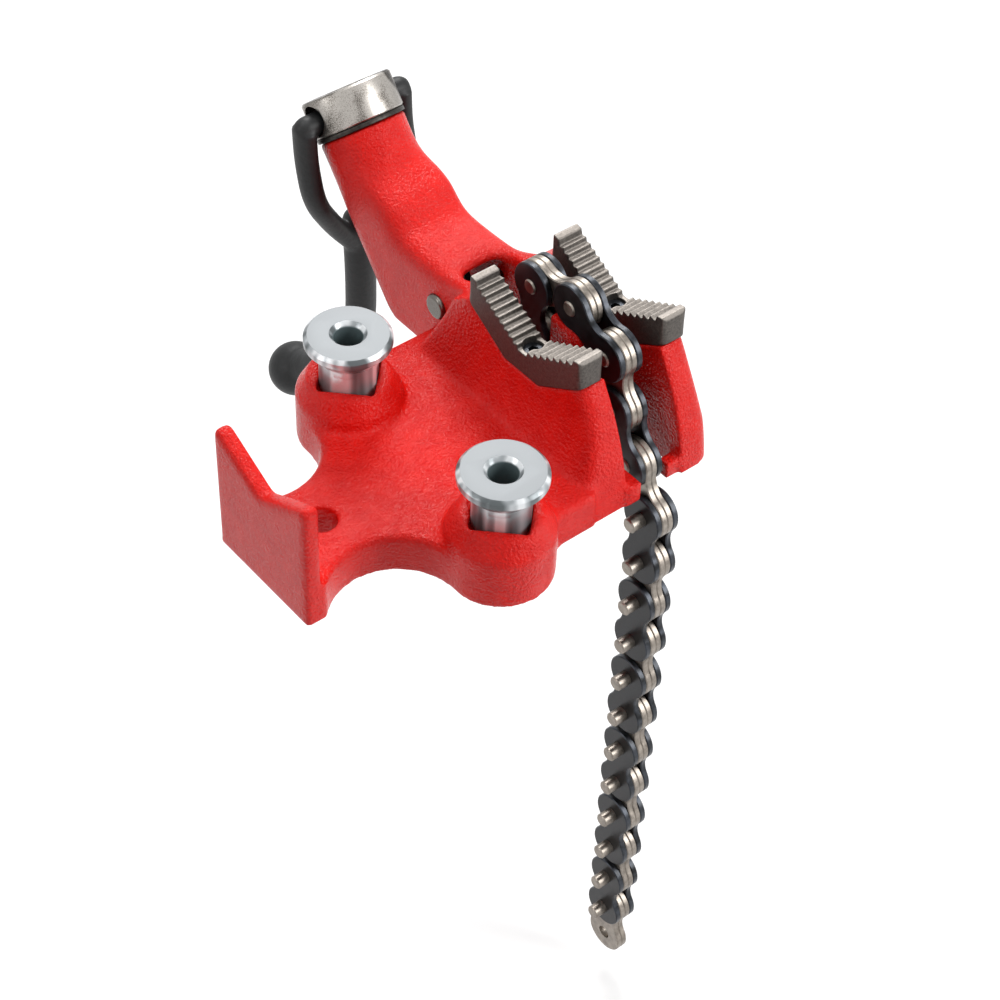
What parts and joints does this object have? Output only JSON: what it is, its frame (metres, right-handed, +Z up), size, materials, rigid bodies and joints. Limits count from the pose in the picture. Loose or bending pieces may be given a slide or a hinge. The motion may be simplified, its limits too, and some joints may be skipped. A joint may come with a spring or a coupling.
{
  "type": "chain pipe vise",
  "caption": "Bench chain vise for pipe: cast foot with V rest, two toothed V jaws, and a leaf chain drawn by a nut on a leaning column, with a hinged crank handle.",
  "frame": {"origin": "on the bench face, midway between the two spools", "axes": "+X along the pipe from the rest to the jaws, +Y towards the column, +Z up"},
  "size_m": [0.1933, 0.2959, 0.4254],
  "materials": {
    "enamelled_casting": "glossy enamel over a cast skin",
    "bright_zinc": "bright zinc plated",
    "jaw_steel": "hardened, dark phosphate",
    "black_steel": "black oxide",
    "bare_steel": "bare",
    "nut_steel": "turned",
    "forged_black": "forged, matt black",
    "black_plate": "black oxide",
    "bare_plate": "bare"
  },
  "bodies": {
    "base": {"base_casting": "enamelled_casting", "spool_back": "bright_zinc", "spool_front": "bright_zinc", "jaw_near": "jaw_steel", "jaw_far": "jaw_steel", "jaw_screws": "black_steel", "guide_pin": "bare_steel", "washer": "black_steel", "link_05_plates": "black_plate", "link_05_pins": "bare_steel"},
    "nut": {"nut": "nut_steel"},
    "screw": {"screw": "bare_steel"},
    "handle": {"handle": "forged_black"},
    "link_01": {"link_01_plates": "black_plate", "link_01_pins": "bare_steel"},
    "link_02": {"link_02_plates": "bare_plate"},
    "link_03": {"link_03_plates": "black_plate", "link_03_pins": "bare_steel"},
    "link_04": {"link_04_plates": "bare_plate"},
    "link_06": {"link_06_plates": "bare_plate"},
    "link_07": {"link_07_plates": "black_plate", "link_07_pins": "bare_steel"},
    "link_08": {"link_08_plates": "bare_plate"},
    "link_09": {"link_09_plates": "black_plate", "link_09_pins": "bare_steel"},
    "link_10": {"link_10_plates": "bare_plate"},
    "link_11": {"link_11_plates": "black_plate", "link_11_pins": "bare_steel"},
    "link_12": {"link_12_plates": "bare_plate"},
    "link_13": {"link_13_plates": "black_plate", "link_13_pins": "bare_steel"},
    "link_14": {"link_14_plates": "bare_plate"},
    "link_15": {"link_15_plates": "black_plate", "link_15_pins": "bare_steel"},
    "link_16": {"link_16_plates": "bare_plate"},
    "link_17": {"link_17_plates": "black_plate", "link_17_pins": "bare_steel"},
    "link_18": {"link_18_plates": "bare_plate"},
    "link_19": {"link_19_plates": "black_plate", "link_19_pins": "bare_steel"},
    "link_20": {"link_20_plates": "bare_plate"},
    "link_21": {"link_21_plates": "black_plate", "link_21_pins": "bare_steel"},
    "link_22": {"link_22_plates": "bare_plate"}
  },
  "joints": [
    {"name": "nut_turn", "type": "hinge", "parent": "base", "child": "nut", "pos_m": [0.0802, 0.15499, 0.07507], "axis": [0, 0.6428, 0.766], "range_deg": [-1080, 1080]},
    {"name": "screw_travel", "type": "slide", "parent": "base", "child": "screw", "axis": [0, 0.6428, 0.766], "range_m": [-0.00601, 0.00601]},
    {"name": "handle_swing", "type": "hinge", "parent": "base", "child": "handle", "pos_m": [0.0802, 0.15499, 0.07347], "axis": [1, 0, 0], "range_deg": [-6, 225]},
    {"name": "link_01_swing", "type": "hinge", "parent": "screw", "child": "link_01", "pos_m": [0.0802, 0.11128, 0.02298], "axis": [1, 0, 0], "range_deg": [-8.23, 8.23]},
    {"name": "link_02_swing", "type": "hinge", "parent": "link_01", "child": "link_02", "pos_m": [0.0802, 0.08597, 0.02094], "axis": [1, 0, 0], "range_deg": [-7.58, 7.58]},
    {"name": "link_03_swing", "type": "hinge", "parent": "link_02", "child": "link_03", "pos_m": [0.0802, 0.06208, 0.0123], "axis": [1, 0, 0], "range_deg": [-6.72, 6.72]},
    {"name": "link_04_swing", "type": "hinge", "parent": "link_03", "child": "link_04", "pos_m": [0.0802, 0.03696, 0.01604], "axis": [1, 0, 0], "range_deg": [-18.72, 18.72]},
    {"name": "link_06_swing", "type": "hinge", "parent": "base", "child": "link_06", "pos_m": [0.0802, 0.0225, 0.0613], "axis": [-1, 0, 0], "range_deg": [0, 25]},
    {"name": "link_07_swing", "type": "hinge", "parent": "link_06", "child": "link_07", "pos_m": [0.0802, -0.00243, 0.06615], "axis": [-1, 0, 0], "range_deg": [0, 25]},
    {"name": "link_08_swing", "type": "hinge", "parent": "link_07", "child": "link_08", "pos_m": [0.0802, -0.02486, 0.05422], "axis": [-1, 0, 0], "range_deg": [0, 25]},
    {"name": "link_09_swing", "type": "hinge", "parent": "link_08", "child": "link_09", "pos_m": [0.0802, -0.03101, 0.02958], "axis": [-1, 0, 0], "range_deg": [0, 20]},
    {"name": "link_10_swing", "type": "hinge", "parent": "link_09", "child": "link_10", "pos_m": [0.0802, -0.04254, 0.00694], "axis": [-1, 0, 0], "range_deg": [0, 20]},
    {"name": "link_11_swing", "type": "hinge", "parent": "link_10", "child": "link_11", "pos_m": [0.0802, -0.05524, -0.01505], "axis": [-1, 0, 0], "range_deg": [-8, 15]},
    {"name": "link_12_swing", "type": "hinge", "parent": "link_11", "child": "link_12", "pos_m": [0.0802, -0.05657, -0.04042], "axis": [-1, 0, 0], "range_deg": [-8, 15]},
    {"name": "link_13_swing", "type": "hinge", "parent": "link_12", "child": "link_13", "pos_m": [0.0802, -0.05657, -0.06582], "axis": [-1, 0, 0], "range_deg": [-8, 15]},
    {"name": "link_14_swing", "type": "hinge", "parent": "link_13", "child": "link_14", "pos_m": [0.0802, -0.05657, -0.09122], "axis": [-1, 0, 0], "range_deg": [-8, 15]},
    {"name": "link_15_swing", "type": "hinge", "parent": "link_14", "child": "link_15", "pos_m": [0.0802, -0.05657, -0.11662], "axis": [-1, 0, 0], "range_deg": [-8, 15]},
    {"name": "link_16_swing", "type": "hinge", "parent": "link_15", "child": "link_16", "pos_m": [0.0802, -0.05657, -0.14202], "axis": [-1, 0, 0], "range_deg": [-8, 15]},
    {"name": "link_17_swing", "type": "hinge", "parent": "link_16", "child": "link_17", "pos_m": [0.0802, -0.05657, -0.16742], "axis": [-1, 0, 0], "range_deg": [-8, 15]},
    {"name": "link_18_swing", "type": "hinge", "parent": "link_17", "child": "link_18", "pos_m": [0.0802, -0.05657, -0.19282], "axis": [-1, 0, 0], "range_deg": [-8, 15]},
    {"name": "link_19_swing", "type": "hinge", "parent": "link_18", "child": "link_19", "pos_m": [0.0802, -0.05657, -0.21822], "axis": [-1, 0, 0], "range_deg": [-8, 15]},
    {"name": "link_20_swing", "type": "hinge", "parent": "link_19", "child": "link_20", "pos_m": [0.0802, -0.05657, -0.24362], "axis": [-1, 0, 0], "range_deg": [-8, 15]},
    {"name": "link_21_swing", "type": "hinge", "parent": "link_20", "child": "link_21", "pos_m": [0.0802, -0.05657, -0.26902], "axis": [-1, 0, 0], "range_deg": [-8, 15]},
    {"name": "link_22_swing", "type": "hinge", "parent": "link_21", "child": "link_22", "pos_m": [0.0802, -0.05657, -0.29442], "axis": [-1, 0, 0], "range_deg": [-8, 15]}
  ],
  "couplings": [
    {"joint": "screw_travel", "follows": "nut_turn", "m_per_rad": -0.00031831},
    {"joint": "link_01_swing", "follows": "nut_turn", "ratio": -0.0076111},
    {"joint": "link_02_swing", "follows": "nut_turn", "ratio": 0.0070056},
    {"joint": "link_03_swing", "follows": "nut_turn", "ratio": 0.0062111},
    {"joint": "link_04_swing", "follows": "nut_turn", "ratio": -0.017322}
  ]
}
